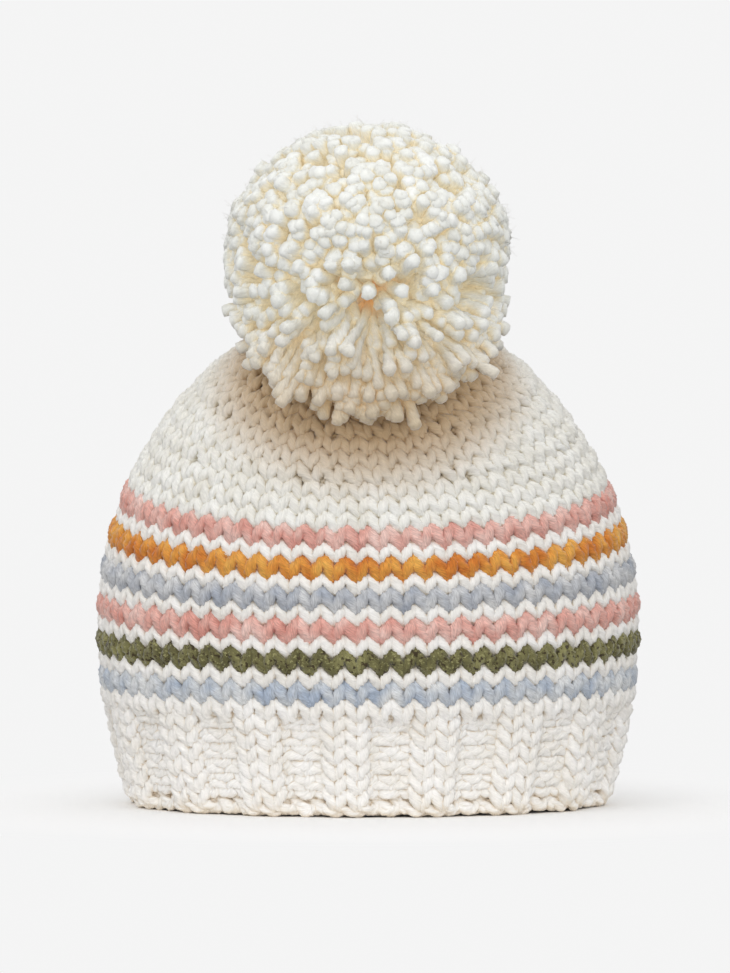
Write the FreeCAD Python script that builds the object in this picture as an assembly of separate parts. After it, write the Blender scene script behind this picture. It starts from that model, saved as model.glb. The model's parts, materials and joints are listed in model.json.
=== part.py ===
import FreeCAD, Part
import math
import os

"""Pom pom beanie: a chunky hand-knitted hat, standing on its hem as if on a head.

Millimetres. The origin is the centre of the head opening, in the plane of the hem.
+Z is up to the crown, +X is across the width, and -Y is the front, towards which
the crown leans under the weight of the pom.

The knitted tube is a stack of courses along a spine that bends forward. Every
course is a band between two flat sections of the tube, each square to the spine.
"""

os.makedirs("parts", exist_ok=True)

# ---- Driving dimensions -------------------------------------------------------

# The knitted tube, outside sizes
HAT_WIDTH = 213.0            # across the widest course
HAT_DEPTH = 164.0            # front to back at the widest course
HEM_WIDTH = 189.0            # across the hem
SECTION_POWER = 2.0          # of the section's outline: 2 is an ellipse, more is squarer
WIDTH_POWER = 1.9            # of the dome's profile, seen from the front
DEPTH_POWER = 2.1            # of the dome's profile, seen from the side
WIDEST_UP = 72.5             # spine length from the hem to the widest course
DOME_LENGTH = 126.5          # spine length from the widest course to the crown tip
TIP_LEAN = 26.5              # degrees, how far the spine leans forward at the tip
LEAN_POWER = 1.8             # of the spine length that the lean grows with
FABRIC_THICKNESS = 8.0

# The courses, heights along the spine
EDGE_HEIGHT = 4.5            # cast-on edge
RIB_COURSE_COUNT = 6
RIB_COURSE_HEIGHT = 6.1
PLAIN_COURSE_HEIGHT = 6.6
STRIPE_COURSE_HEIGHT = 7.1
STITCH_COUNT = 64
RIB_REPEAT_COUNT = 4         # two knit and two purl stitches
RIB_RELIEF = 2.6             # how far the purl pairs sit behind the knit pairs
RIB_SQUARENESS = 2.2         # of the change between them: 0 is a sine, more is sharper

# One course of each, from the rib upwards
STRIPES = ("light_blue_stripe", "cream_course_1", "olive_stripe", "cream_course_2",
           "lower_pink_stripe", "cream_course_3", "grey_blue_stripe", "cream_course_4",
           "mustard_stripe", "cream_course_5", "upper_pink_stripe")
COLOURED = [name for name in STRIPES if name.endswith("stripe")]

# The crown tip, where the last stitches are drawn together
TIP_FLAT_WIDTH = 30.0        # the flat that the drawn-in stitches leave, outside
DIMPLE_DIAMETER = 21.0
DIMPLE_DEPTH = 4.5
GATHER_YARN = 3.8            # thickness of the drawstring yarn
GATHER_WIDTH = 18.5          # outside of its ring

# Yarn that ties the pom on
ANCHOR_YARN = 5.6            # two strands laid together
ANCHOR_FIT = 0.2             # round the yarn where it passes through the crown
KNOT_DIAMETER = 13.0
KNOT_FLAT = 9.0              # the side of the knot that is pulled against the crown
TAIL_YARN = 4.0
TAIL_LENGTH = 22.0
TAIL_SPREAD = 32.0           # degrees from straight down
NECK_KNOT = 7.0              # the bead of yarn that the pom pivots on
NECK_RISE = 1.0              # its centre above the crown's flat

# The pom
POM_WIDTH = 107.0
POM_TOP = 58.0               # how far the pom reaches above its middle
POM_BOTTOM = 57.0            # and below it
POM_TOP_POWER = 2.2          # roundness of its outline: 2 would be an ellipse
POM_BOTTOM_POWER = 3.0       # squarer below, where the strands sag
POM_STEPS = 10               # points along each quarter of the outline
POM_RISE = 18.0              # pom centre above the crown's flat, along the spine
TIE_YARN = 3.6
TIE_RING = 14.0              # the loop drawn tight round the middle of the strands
NOD_FORWARD = 5.0            # degrees, before the strands bear on the crown's front
NOD_BACK = 15.0              # degrees, pushed back
SWAY = 10.0                  # degrees, to each side
POM_LIFT = 1.0               # air between the swung pom and the crown
NECK_ROOM = 26.0             # width of the hollow round the neck knot
NECK_ROOM_AIR = 1.0          # its top above the neck knot

# Yarn ends woven in on the inside, at the back where the rounds join
END_YARN = 4.0
END_LENGTH = 24.0
END_FROM_JOIN = 4.0

SOFT_GAP = 0.3               # between pieces that only lie against each other

# ---- Derived values -------------------------------------------------------------

SPINE_LENGTH = WIDEST_UP + DOME_LENGTH
HEM_NARROWING = 1 - HEM_WIDTH / HAT_WIDTH
RIB_START = EDGE_HEIGHT
RIB_END = RIB_START + RIB_COURSE_COUNT * RIB_COURSE_HEIGHT
STRIPES_START = RIB_END + PLAIN_COURSE_HEIGHT
CROWN_START = STRIPES_START + len(STRIPES) * STRIPE_COURSE_HEIGHT
FLAT_SHARE = TIP_FLAT_WIDTH / HAT_WIDTH
FLAT_AT = WIDEST_UP + DOME_LENGTH * (1 - FLAT_SHARE ** WIDTH_POWER) ** (1 / WIDTH_POWER)
KNOT_TOP = -FABRIC_THICKNESS - SOFT_GAP
KNOT_CENTRE = KNOT_TOP - math.sqrt(KNOT_DIAMETER ** 2 - KNOT_FLAT ** 2) / 2
NECK_TOP = NECK_RISE + NECK_KNOT / 2

# ---- How finely the curves are drawn --------------------------------------------

SPINE_STEPS = 60
OUTLINE_STEPS = 1440
RIB_POINTS = 8 * (STITCH_COUNT // RIB_REPEAT_COUNT)
PLAIN_POINTS = 40
DOME_SECTIONS = 9


# ---- The spine and its sections ----------------------------------------------------

def lean(length):
    """Angle of the spine from upright: it grows with a power of the length."""
    return math.radians(TIP_LEAN) * (length / SPINE_LENGTH) ** LEAN_POWER


def spine_point(length):
    """Integrate the spine's direction from the hem by the midpoint rule."""
    step = length / SPINE_STEPS
    angles = [lean((i + 0.5) * step) for i in range(SPINE_STEPS)]
    back = -sum(math.sin(a) for a in angles) * step
    up = sum(math.cos(a) for a in angles) * step
    return FreeCAD.Vector(0, back, up)


def along(length):
    """Unit direction of the spine, which is the normal of the section there."""
    return FreeCAD.Vector(0, -math.sin(lean(length)), math.cos(lean(length)))


def backwards(length):
    """Unit direction in the section's plane, towards the back of the hat."""
    return FreeCAD.Vector(0, math.cos(lean(length)), math.sin(lean(length)))


def half_size(length, inset, half, power):
    """Half the width or depth of the section, less the inset. Below the widest course it
    narrows to the hem by a parabola, above it the dome's profile is a quarter of a
    superellipse."""
    if length <= WIDEST_UP:
        return half * (1 - HEM_NARROWING * (1 - length / WIDEST_UP) ** 2) - inset
    share = (length - WIDEST_UP) / (DOME_LENGTH - inset)
    return (half - inset) * (1 - share ** power) ** (1 / power)


def half_width(length, inset=0.0):
    """Half the section's width at a spine length."""
    return half_size(length, inset, HAT_WIDTH / 2, WIDTH_POWER)


def half_depth(length, inset=0.0):
    """Half the section's depth at a spine length."""
    return half_size(length, inset, HAT_DEPTH / 2, DEPTH_POWER)


def outline(wide, deep, count, offset=None):
    """Points evenly spaced round a superellipse, as (x, back) pairs, from the middle of
    the back. offset(turn) moves a point out along the normal, turn going from 0 to 1."""
    power = 2.0 / SECTION_POWER
    curve = []
    for i in range(OUTLINE_STEPS + 1):
        angle = math.pi / 2 - 2 * math.pi * i / OUTLINE_STEPS
        c, s = math.cos(angle), math.sin(angle)
        curve.append((wide * math.copysign(abs(c) ** power, c),
                      deep * math.copysign(abs(s) ** power, s)))
    run = [0.0]
    for (x0, y0), (x1, y1) in zip(curve, curve[1:]):
        run.append(run[-1] + math.hypot(x1 - x0, y1 - y0))
    points = []
    place = 0
    for k in range(count):
        target = run[-1] * k / count
        while run[place + 1] < target:
            place += 1
        (x0, y0), (x1, y1) = curve[place], curve[place + 1]
        share = (target - run[place]) / (run[place + 1] - run[place])
        tx, ty = x1 - x0, y1 - y0
        out = offset(k / count) / math.hypot(tx, ty) if offset else 0.0
        points.append((x0 + share * tx - out * ty, y0 + share * ty + out * tx))
    return points


def section_wire(length, inset=0.0, ripple=0.0):
    """Closed spline round the tube at one spine length, inset from its outside. With a
    ripple, the purl pairs of the rib sit that much further in."""
    def purl_offset(turn):
        repeat = turn * STITCH_COUNT / RIB_REPEAT_COUNT
        wave = math.sin(2 * math.pi * repeat)
        flat_topped = math.tanh(RIB_SQUARENESS * wave) / math.tanh(RIB_SQUARENESS)
        return -ripple * (0.5 - 0.5 * flat_topped)
    count = RIB_POINTS if ripple else PLAIN_POINTS
    centre, back = spine_point(length), backwards(length)
    pairs = outline(half_width(length, inset), half_depth(length, inset), count,
                    purl_offset if ripple else None)
    points = [centre + FreeCAD.Vector(x, 0, 0) + back * y for x, y in pairs]
    curve = Part.BSplineCurve()
    curve.interpolate(Points=points, PeriodicFlag=True)
    return Part.Wire([curve.toShape()])


def band(ends, ripple=0.0):
    """A ring of fabric between the sections at two spine lengths."""
    outside = Part.makeLoft([section_wire(s, 0.0, ripple) for s in ends], True, True)
    inside = Part.makeLoft([section_wire(s, FABRIC_THICKNESS, ripple) for s in ends],
                           True, True)
    return outside.cut(inside)


def dome(inset, top):
    """The solid inside the tube from the start of the crown up to a spine length."""
    dome_length = DOME_LENGTH - inset
    low = math.asin((CROWN_START - WIDEST_UP) / dome_length)
    high = math.asin((top - WIDEST_UP) / dome_length)
    turns = [low + (high - low) * i / DOME_SECTIONS for i in range(DOME_SECTIONS + 1)]
    wires = [section_wire(WIDEST_UP + dome_length * math.sin(t), inset) for t in turns]
    return Part.makeLoft(wires, True, False)


def crown_shell():
    """The crown: the dome less its inside, flat at the tip, with a dimple where the
    stitches are drawn together and a hole for the anchor yarn."""
    shell = dome(0.0, FLAT_AT).cut(dome(FABRIC_THICKNESS, FLAT_AT - FABRIC_THICKNESS))
    dimple = rod(at_tip(up=-DIMPLE_DEPTH), at_tip(up=POM_RISE), DIMPLE_DIAMETER)
    hole = rod(at_tip(up=-2 * FABRIC_THICKNESS), at_tip(up=0),
               ANCHOR_YARN + 2 * ANCHOR_FIT)
    return shell.cut(dimple).cut(hole)


# ---- Pieces at the crown tip and the pom ---------------------------------------------

def at_tip(up=0.0, x=0.0, back=0.0):
    """A point in the frame of the crown's flat: up along the spine from its centre."""
    return (spine_point(FLAT_AT) + FreeCAD.Vector(x, 0, 0)
            + along(FLAT_AT) * up + backwards(FLAT_AT) * back)


def rod(start, end, diameter):
    """A straight piece of yarn."""
    return Part.makeCylinder(diameter / 2, (end - start).Length, start, end - start)


def gather_ring():
    """The drawstring yarn, drawn up in the dimple round the anchor yarn."""
    yarn = GATHER_YARN / 2
    return Part.makeTorus(GATHER_WIDTH / 2 - yarn, yarn, at_tip(up=yarn - DIMPLE_DEPTH),
                          along(FLAT_AT))


def anchor_yarn():
    """The yarn through the crown, from the knot inside to just under the neck knot."""
    return rod(at_tip(up=-FABRIC_THICKNESS),
               at_tip(up=NECK_RISE - NECK_KNOT / 2 - SOFT_GAP), ANCHOR_YARN)


def anchor_knot():
    """The knot inside, flat where it is pulled up against the crown."""
    ball = Part.makeSphere(KNOT_DIAMETER / 2, at_tip(up=KNOT_CENTRE))
    above = rod(at_tip(up=KNOT_TOP), at_tip(up=KNOT_DIAMETER), 2 * KNOT_DIAMETER)
    return ball.cut(above)


def anchor_tails():
    """The two cut tails of the knot, hanging inside the crown."""
    tails = []
    for side in (-1, 1):
        angle = math.radians(TAIL_SPREAD)
        way = (FreeCAD.Vector(side * math.sin(angle), 0, 0)
               - along(FLAT_AT) * math.cos(angle))
        start = at_tip(up=KNOT_CENTRE) + way * (KNOT_DIAMETER / 2 + SOFT_GAP)
        tails.append(rod(start, start + way * TAIL_LENGTH, TAIL_YARN))
    return Part.makeCompound(tails)


def neck_knot():
    """The bead of yarn between the crown and the pom, which the pom pivots on."""
    return Part.makeSphere(NECK_KNOT / 2, at_tip(up=NECK_RISE))


def pom_tie():
    """The tie: a loop round the middle of the strands, and its leg down to the neck."""
    yarn = TIE_YARN / 2
    loop = Part.makeTorus(TIE_RING / 2 - yarn, yarn, at_tip(up=POM_RISE),
                          FreeCAD.Vector(1, 0, 0))
    leg = rod(at_tip(up=NECK_TOP + SOFT_GAP),
              at_tip(up=POM_RISE - TIE_RING / 2 + yarn), ANCHOR_YARN)
    return loop.fuse(leg)


def pom_quarter(reach, power):
    """One quarter of the pom's outline, a superellipse from its side to its pole."""
    points = [FreeCAD.Vector(POM_WIDTH / 2, 0, 0)]
    for i in range(1, POM_STEPS):
        turn = math.pi / 2 * i / POM_STEPS
        points.append(FreeCAD.Vector(POM_WIDTH / 2 * math.cos(turn) ** (2 / power), 0,
                                     reach * math.sin(turn) ** (2 / power)))
    points.append(FreeCAD.Vector(0, 0, reach))
    curve = Part.BSplineCurve()
    curve.interpolate(Points=points,
                      InitialTangent=FreeCAD.Vector(0, 0, math.copysign(1, reach)),
                      FinalTangent=FreeCAD.Vector(-1, 0, 0))
    return curve.toShape()


def pom_ball():
    """The pom as a whole: domed above, squarer below, round from above."""
    axis = Part.makeLine(FreeCAD.Vector(0, 0, -POM_BOTTOM), FreeCAD.Vector(0, 0, POM_TOP))
    outline_wire = Part.Wire(Part.__sortEdges__(
        [axis, pom_quarter(POM_TOP, POM_TOP_POWER),
         pom_quarter(-POM_BOTTOM, POM_BOTTOM_POWER)]))
    ball = Part.Face(outline_wire).revolve(FreeCAD.Vector(), FreeCAD.Vector(0, 0, 1), 360)
    ball.translate(at_tip(up=POM_RISE))
    return ball


def pom_strands():
    """The ball of cut strands. Its underside is cut to the crown as the crown lies at
    every swing of the pom, with air between, and it is closed round its tie."""
    ball = pom_ball()
    crown = dome(-POM_LIFT, FLAT_AT + POM_LIFT)
    pivot = at_tip(up=NECK_RISE)
    for nod in (-NOD_BACK, (NOD_FORWARD - NOD_BACK) / 2, NOD_FORWARD):
        for sway in (-SWAY, 0.0, SWAY):
            swung = crown.copy()
            swung.rotate(pivot, FreeCAD.Vector(1, 0, 0), -nod)
            swung.rotate(pivot, backwards(FLAT_AT), -sway)
            ball = ball.cut(swung)
    neck = rod(at_tip(up=-POM_RISE), at_tip(up=NECK_TOP + NECK_ROOM_AIR), NECK_ROOM)
    return ball.cut(neck).cut(pom_tie())


# ---- Yarn ends on the inside ---------------------------------------------------------

def woven_ends():
    """Two ends of each coloured yarn, each lying along its own course on the inside, to
    the left and the right of the join at the middle of the back."""
    ends = []
    for name in COLOURED:
        middle = STRIPES_START + (STRIPES.index(name) + 0.5) * STRIPE_COURSE_HEIGHT
        inset = FABRIC_THICKNESS + END_YARN / 2 + SOFT_GAP
        wide, deep = half_width(middle, inset), half_depth(middle, inset)

        def wall(x):
            share = 1 - (abs(x) / wide) ** SECTION_POWER
            return (spine_point(middle) + FreeCAD.Vector(x, 0, 0)
                    + backwards(middle) * (deep * share ** (1 / SECTION_POWER)))
        for side in (-1, 1):
            ends.append(rod(wall(side * END_FROM_JOIN),
                            wall(side * (END_FROM_JOIN + END_LENGTH)), END_YARN))
    return Part.makeCompound(ends)


# ---- Writing the nodes -----------------------------------------------------------------

def save(name, shape):
    """Write one node, and say how many solids it has and their volume."""
    shape.exportStep("parts/%s.step" % name)
    print("%-20s solids %2d  volume %9.1f mm3  valid %s"
          % (name, len(shape.Solids), shape.Volume, shape.isValid()))


def build():
    """Every node of the hat, from the hem upwards."""
    nodes = {
        "cast_on_edge": band([0.0, EDGE_HEIGHT], RIB_RELIEF),
        "rib_band": band([RIB_START, RIB_END], RIB_RELIEF),
        "plain_course": band([RIB_END, STRIPES_START]),
    }
    for i, name in enumerate(STRIPES):
        start = STRIPES_START + i * STRIPE_COURSE_HEIGHT
        nodes[name] = band([start, start + STRIPE_COURSE_HEIGHT])
    nodes["crown"] = crown_shell()
    nodes["crown_gather"] = gather_ring()
    nodes["woven_ends"] = woven_ends()
    nodes["anchor_yarn"] = anchor_yarn()
    nodes["anchor_knot"] = anchor_knot()
    nodes["anchor_tails"] = anchor_tails()
    nodes["neck_knot"] = neck_knot()
    nodes["pom_tie"] = pom_tie()
    nodes["pom_strands"] = pom_strands()
    return nodes


if __name__ == "__main__":
    for node, solid in build().items():
        save(node, solid)
    pivot = at_tip(up=NECK_RISE)
    print("pivot of the pom: %.2f %.2f %.2f" % (pivot.x, pivot.y, pivot.z))
    print("spine direction there: %.4f %.4f %.4f" % tuple(along(FLAT_AT)))
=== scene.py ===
"""Pom pom beanie, dressed in yarn.

Every knitted course is one strand of plied yarn that runs round the hat in loops, the
crown's courses lose stitches along eight lines, and the pom is a ball of cut strands.
Millimetres inside the functions, metres in the meshes.
"""
import json
import math

import bpy
import numpy as np
from mathutils import Matrix, Vector

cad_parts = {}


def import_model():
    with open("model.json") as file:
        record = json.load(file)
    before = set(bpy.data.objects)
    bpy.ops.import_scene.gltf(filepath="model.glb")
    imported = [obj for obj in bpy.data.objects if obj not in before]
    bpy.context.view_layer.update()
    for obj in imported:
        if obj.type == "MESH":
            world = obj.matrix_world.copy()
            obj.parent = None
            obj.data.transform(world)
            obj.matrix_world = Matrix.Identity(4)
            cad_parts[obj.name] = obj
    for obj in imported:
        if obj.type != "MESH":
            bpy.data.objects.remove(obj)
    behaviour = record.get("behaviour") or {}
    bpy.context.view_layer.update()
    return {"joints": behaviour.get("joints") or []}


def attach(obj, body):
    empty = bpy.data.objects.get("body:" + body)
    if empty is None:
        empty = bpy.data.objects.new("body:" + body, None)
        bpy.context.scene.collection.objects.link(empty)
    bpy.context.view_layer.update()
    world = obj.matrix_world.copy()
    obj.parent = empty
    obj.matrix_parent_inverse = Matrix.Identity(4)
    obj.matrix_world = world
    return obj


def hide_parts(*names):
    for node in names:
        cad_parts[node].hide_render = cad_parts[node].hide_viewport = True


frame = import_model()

METRE = 0.001                # one millimetre
TAU = 2 * math.pi

# ---- Sizes that the solids have too --------------------------------------------------

HAT_WIDTH = 213.0
HAT_DEPTH = 164.0
HEM_WIDTH = 189.0
SECTION_POWER = 2.0
WIDTH_POWER = 1.9
DEPTH_POWER = 2.1
WIDEST_UP = 72.5
DOME_LENGTH = 126.5
TIP_LEAN = math.radians(26.5)
LEAN_POWER = 1.8
FABRIC_THICKNESS = 8.0
SPINE_LENGTH = WIDEST_UP + DOME_LENGTH
FLAT_AT = 197.38             # spine length at the crown's flat

EDGE_HEIGHT = 4.5
RIB_COURSES = 6
RIB_COURSE_HEIGHT = 6.1
PLAIN_COURSE_HEIGHT = 6.6
STRIPE_COURSE_HEIGHT = 7.1
STITCHES_ROUND = 64
RIB_RELIEF = 2.6
STRIPES = (("light_blue_stripe", "light_blue_wool"), ("cream_course_1", "cream_wool"),
           ("olive_stripe", "olive_wool"), ("cream_course_2", "cream_wool"),
           ("lower_pink_stripe", "pink_wool"), ("cream_course_3", "cream_wool"),
           ("grey_blue_stripe", "grey_blue_wool"), ("cream_course_4", "cream_wool"),
           ("mustard_stripe", "mustard_wool"), ("cream_course_5", "cream_wool"),
           ("upper_pink_stripe", "pink_wool"))
RIB_END = EDGE_HEIGHT + RIB_COURSES * RIB_COURSE_HEIGHT
STRIPES_START = RIB_END + PLAIN_COURSE_HEIGHT
CROWN_START = STRIPES_START + len(STRIPES) * STRIPE_COURSE_HEIGHT

GATHER_YARN = 3.8
GATHER_WIDTH = 18.5
DIMPLE_DEPTH = 4.5
ANCHOR_YARN = 5.6
KNOT_DIAMETER = 13.0
KNOT_CENTRE = -12.99         # along the spine from the crown's flat
TAIL_YARN = 4.0
TAIL_LENGTH = 22.0
TAIL_SPREAD = 32.0
NECK_KNOT = 7.0
NECK_RISE = 1.0
POM_HALF_WIDTH = 53.5
POM_TOP = 58.0               # how far the pom reaches above its middle
POM_BOTTOM = 57.0            # and below it
POM_TOP_POWER = 2.2          # a domed top
POM_BOTTOM_POWER = 3.0       # a squarer underside, where the strands sag
POM_RISE = 17.0              # pom centre above the neck knot, along the tip's direction
TIE_YARN = 3.6
TIE_RING = 14.0
END_YARN = 4.0
END_LENGTH = 24.0
END_FROM_JOIN = 4.0

# ---- The yarn ------------------------------------------------------------------------

YARN_RADIUS = 2.45
PLIES = 3
PLY_TWIST = 15.0             # yarn length of one full turn of the plies
GROOVE = 0.78                # radius factor between the plies
LOBE = 0.26                  # more than that in the middle of a ply
LOBE_POWER = 0.7
TUBE_SIDES = 12
END_BULGE = 0.18             # how far a cut end's middle stands out, in its radius
WEDGES = 8                   # the crown loses its stitches along as many lines
LOOP_STEPS = 24
LOOP_LEAN = 0.275            # how far a loop's legs swing sideways, in stitch widths
LOOP_HEIGHT = 0.83           # half the loop's height, in course heights
LOOP_DEPTH = 1.75            # how far the legs stand before the heads, halved
HEAD_THIN = 0.88             # the yarn's thickness in heads and feet
LEG_EXTRA = 0.17             # and how much thicker it is in the legs
PLUMP_OUT = 4.0              # how far a yarn twice as plump would stand out
UNEVEN_LEAN = 0.012          # how much the loops differ, in stitch widths
UNEVEN_HEIGHT = 0.03         # in course heights
UNEVEN_UP = 0.22             # in mm up the fabric
UNEVEN_OUT = 0.15            # and in mm out of it
RIB_EDGE = 3.5               # how suddenly knit stitches turn to purl
CORD_STRAND = 2.0            # radius of each strand of the cast-on cord
CORD_HELIX = 1.45            # and of the helix that it follows
CORD_INNER_UP = 4.8          # height of the straight strand behind them

TABLE_START = -6.0           # the fabric's table starts a little below the hem
TABLE_END = math.radians(88.5)              # and ends just before the dome's pole

# ---- The fabric's surface ------------------------------------------------------------


def smooth_step(value, start, end):
    """0 before the start, 1 past the end and smooth between."""
    share = np.clip((value - start) / (end - start), 0, 1)
    return share * share * (3 - 2 * share)


def half_size(length, half, power):
    """Half the width or depth of the middle of the fabric at a spine length: a parabola
    from the hem to the widest course, then a quarter of a superellipse."""
    inset = FABRIC_THICKNESS / 2
    narrower = 1 - HEM_WIDTH / HAT_WIDTH
    tube = half * (1 - narrower * (1 - length / WIDEST_UP) ** 2) - inset
    share = np.clip((length - WIDEST_UP) / (DOME_LENGTH - inset), 0, 1)
    dome = (half - inset) * (1 - share ** power) ** (1 / power)
    return np.where(length < WIDEST_UP, tube, dome)


def lean(length):
    """The spine's angle from upright grows with a power of the length."""
    return TIP_LEAN * (np.clip(length, 0, None) / SPINE_LENGTH) ** LEAN_POWER


class Fabric:
    """The middle surface of the fabric as a table. Rows follow the spine, columns go
    round each section at even spacing from the middle of the back towards +X, and each
    entry holds a point and the normal that points out of the hat."""

    def __init__(self, columns=720, fine=2880):
        tube = np.linspace(TABLE_START, WIDEST_UP, 90)
        inner_dome = DOME_LENGTH - FABRIC_THICKNESS / 2
        rise = np.linspace(0, TABLE_END, 140)[1:]
        self.length = np.concatenate([tube, WIDEST_UP + inner_dome * np.sin(rise)])
        steps = np.diff(self.length, prepend=self.length[0])
        middle = lean(self.length - steps / 2)
        start = self.length[0]
        back = -np.cumsum(np.sin(middle) * steps)
        up = np.cumsum(np.cos(middle) * steps) + start
        wide = half_size(self.length, HAT_WIDTH / 2, WIDTH_POWER)
        deep = half_size(self.length, HAT_DEPTH / 2, DEPTH_POWER)
        angle = math.pi / 2 - TAU * np.arange(fine + 1) / fine
        power = 2 / SECTION_POWER
        c, s = np.cos(angle), np.sin(angle)
        x = wide[:, None] * (np.sign(c) * np.abs(c) ** power)
        y = deep[:, None] * (np.sign(s) * np.abs(s) ** power)
        run = np.hypot(np.diff(x, axis=1), np.diff(y, axis=1)).cumsum(1)
        run = np.concatenate([np.zeros((len(run), 1)), run], axis=1)
        even = np.arange(columns + 1) / columns
        px = np.array([np.interp(even * r[-1], r, row) for r, row in zip(run, x)])
        py = np.array([np.interp(even * r[-1], r, row) for r, row in zip(run, y)])
        tilt = lean(self.length)[:, None]
        self.point = np.stack([px, back[:, None] + py * np.cos(tilt),
                               up[:, None] + py * np.sin(tilt)], axis=-1)
        round_way = np.empty_like(self.point)
        round_way[:, 1:-1] = self.point[:, 2:] - self.point[:, :-2]
        round_way[:, 0] = round_way[:, -1] = self.point[:, 1] - self.point[:, -2]
        up_way = np.gradient(self.point, axis=0)
        normal = np.cross(up_way, round_way)
        self.normal = normal / np.linalg.norm(normal, axis=-1, keepdims=True)
        mean = (wide + deep) / 2
        slope = np.where(self.length > CROWN_START, np.diff(mean, prepend=mean[0]), 0.0)
        self.height = np.hypot(steps, slope).cumsum() + start
        self.girth = run[:, -1]
        self.columns = columns

    def at(self, turn, height, depth):
        """Points at a turn from 0 to 1, a height along the fabric and a depth out of it,
        blended from the four nearest entries."""
        row = np.interp(height, self.height, np.arange(len(self.height)))
        i = np.clip(row.astype(int), 0, len(self.height) - 2)
        u = (row - i)[..., None]
        column = (turn % 1.0) * self.columns
        j = np.clip(column.astype(int), 0, self.columns - 1)
        v = (column - j)[..., None]

        def mix(table):
            low = table[i, j] * (1 - v) + table[i, j + 1] * v
            high = table[i + 1, j] * (1 - v) + table[i + 1, j + 1] * v
            return low * (1 - u) + high * u
        normal = mix(self.normal)
        normal /= np.linalg.norm(normal, axis=-1, keepdims=True)
        return mix(self.point) + normal * np.asarray(depth)[..., None], normal


fabric = Fabric()

# ---- Tubes of yarn -------------------------------------------------------------------


def unit(vectors):
    """Each vector at length 1."""
    return vectors / np.maximum(np.linalg.norm(vectors, axis=-1, keepdims=True), 1e-12)


def ply_profile(sides):
    """Radius factors round a plied yarn: the groove, and a rounded lobe for each ply
    that rises over it with a power of a half sine."""
    place = (np.arange(sides) * PLIES / sides) % 1.0
    return GROOVE + LOBE * np.sin(math.pi * place) ** LOBE_POWER


def tubes(paths, out, radius, closed, sides=TUBE_SIDES, twist=PLY_TWIST, seed=0):
    """Plied yarn along many paths at once. paths is (strands, points, 3), out points
    away from the fabric, radius is (strands, points). The lobed circle at each point
    stands square to the path and turns with the plies as the yarn runs on. An open
    strand's ends close over a middle point that bulges a little. Returns vertices,
    quads, triangles and the corner coordinates (round the yarn, along it in mm)."""
    strands, points, _ = paths.shape
    rng = np.random.default_rng(seed)
    if closed:
        ahead = np.roll(paths, -1, axis=1) - np.roll(paths, 1, axis=1)
        steps = np.linalg.norm(np.roll(paths, -1, axis=1) - paths, axis=-1)
        run = np.concatenate([np.zeros((strands, 1)), steps.cumsum(1)], axis=1)
        total = run[:, -1:]
        turns = np.maximum(1, np.round(total / twist))
        turning = TAU * turns * run[:, :-1] / total
    else:
        ahead = np.gradient(paths, axis=1)
        steps = np.linalg.norm(np.diff(paths, axis=1), axis=-1)
        run = np.concatenate([np.zeros((strands, 1)), steps.cumsum(1)], axis=1)
        turning = TAU * run / twist
    along = unit(ahead)
    side = unit(np.cross(along, out))
    up = np.cross(side, along)
    phase = 0.0 if closed else rng.uniform(0, TAU, (strands, 1))
    angle = (turning + phase)[..., None] + TAU * np.arange(sides) / sides
    reach = radius[..., None] * ply_profile(sides)
    ring = (np.cos(angle)[..., None] * side[:, :, None]
            + np.sin(angle)[..., None] * up[:, :, None])
    vertices = paths[:, :, None] + ring * reach[..., None]
    base = np.arange(strands)[:, None, None] * points * sides
    i = np.arange(points if closed else points - 1)[None, :, None]
    j = np.arange(sides)[None, None, :]
    i2, j2 = (i + 1) % points, (j + 1) % sides
    corner = [base + i * sides + j, base + i * sides + j2,
              base + i2 * sides + j2, base + i2 * sides + j]
    quads = np.stack(np.broadcast_arrays(*corner), axis=-1).reshape(-1, 4)
    low, high = run[:, :-1, None] + 0 * j, run[:, 1:, None] + 0 * j
    low, high = np.broadcast_arrays(low, high)
    left = np.broadcast_to(j / sides, low.shape)
    right = left + 1 / sides
    uv = np.stack([np.stack([left, low], -1), np.stack([right, low], -1),
                   np.stack([right, high], -1), np.stack([left, high], -1)], axis=-2)
    vertices = vertices.reshape(-1, 3)
    if closed:
        return vertices, quads, np.zeros((0, 3), int), uv.reshape(-1, 2)
    tips, triangles, tip_uv = [], [], []
    for end, sign in ((0, -1), (points - 1, 1)):
        middle = paths[:, end] + sign * along[:, end] * radius[:, end, None] * END_BULGE
        index = len(vertices) + len(tips) * strands + np.arange(strands)[:, None]
        first = base[:, 0] + end * sides + np.arange(sides)[None]
        second = base[:, 0] + end * sides + (np.arange(sides)[None] + 1) % sides
        fan = (first, second) if sign > 0 else (second, first)
        triangles.append(np.stack([fan[0], fan[1], index + 0 * first], -1).reshape(-1, 3))
        u = np.broadcast_to(np.arange(sides) / sides, first.shape)
        v = np.broadcast_to(run[:, end, None], first.shape)
        tip_uv.append(np.stack([np.stack([u, v], -1), np.stack([u, v], -1),
                                np.stack([u, v + sign], -1)], axis=-2).reshape(-1, 2))
        tips.append(middle)
    return (np.concatenate([vertices] + tips), quads, np.concatenate(triangles),
            np.concatenate([uv.reshape(-1, 2)] + tip_uv))


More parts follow.
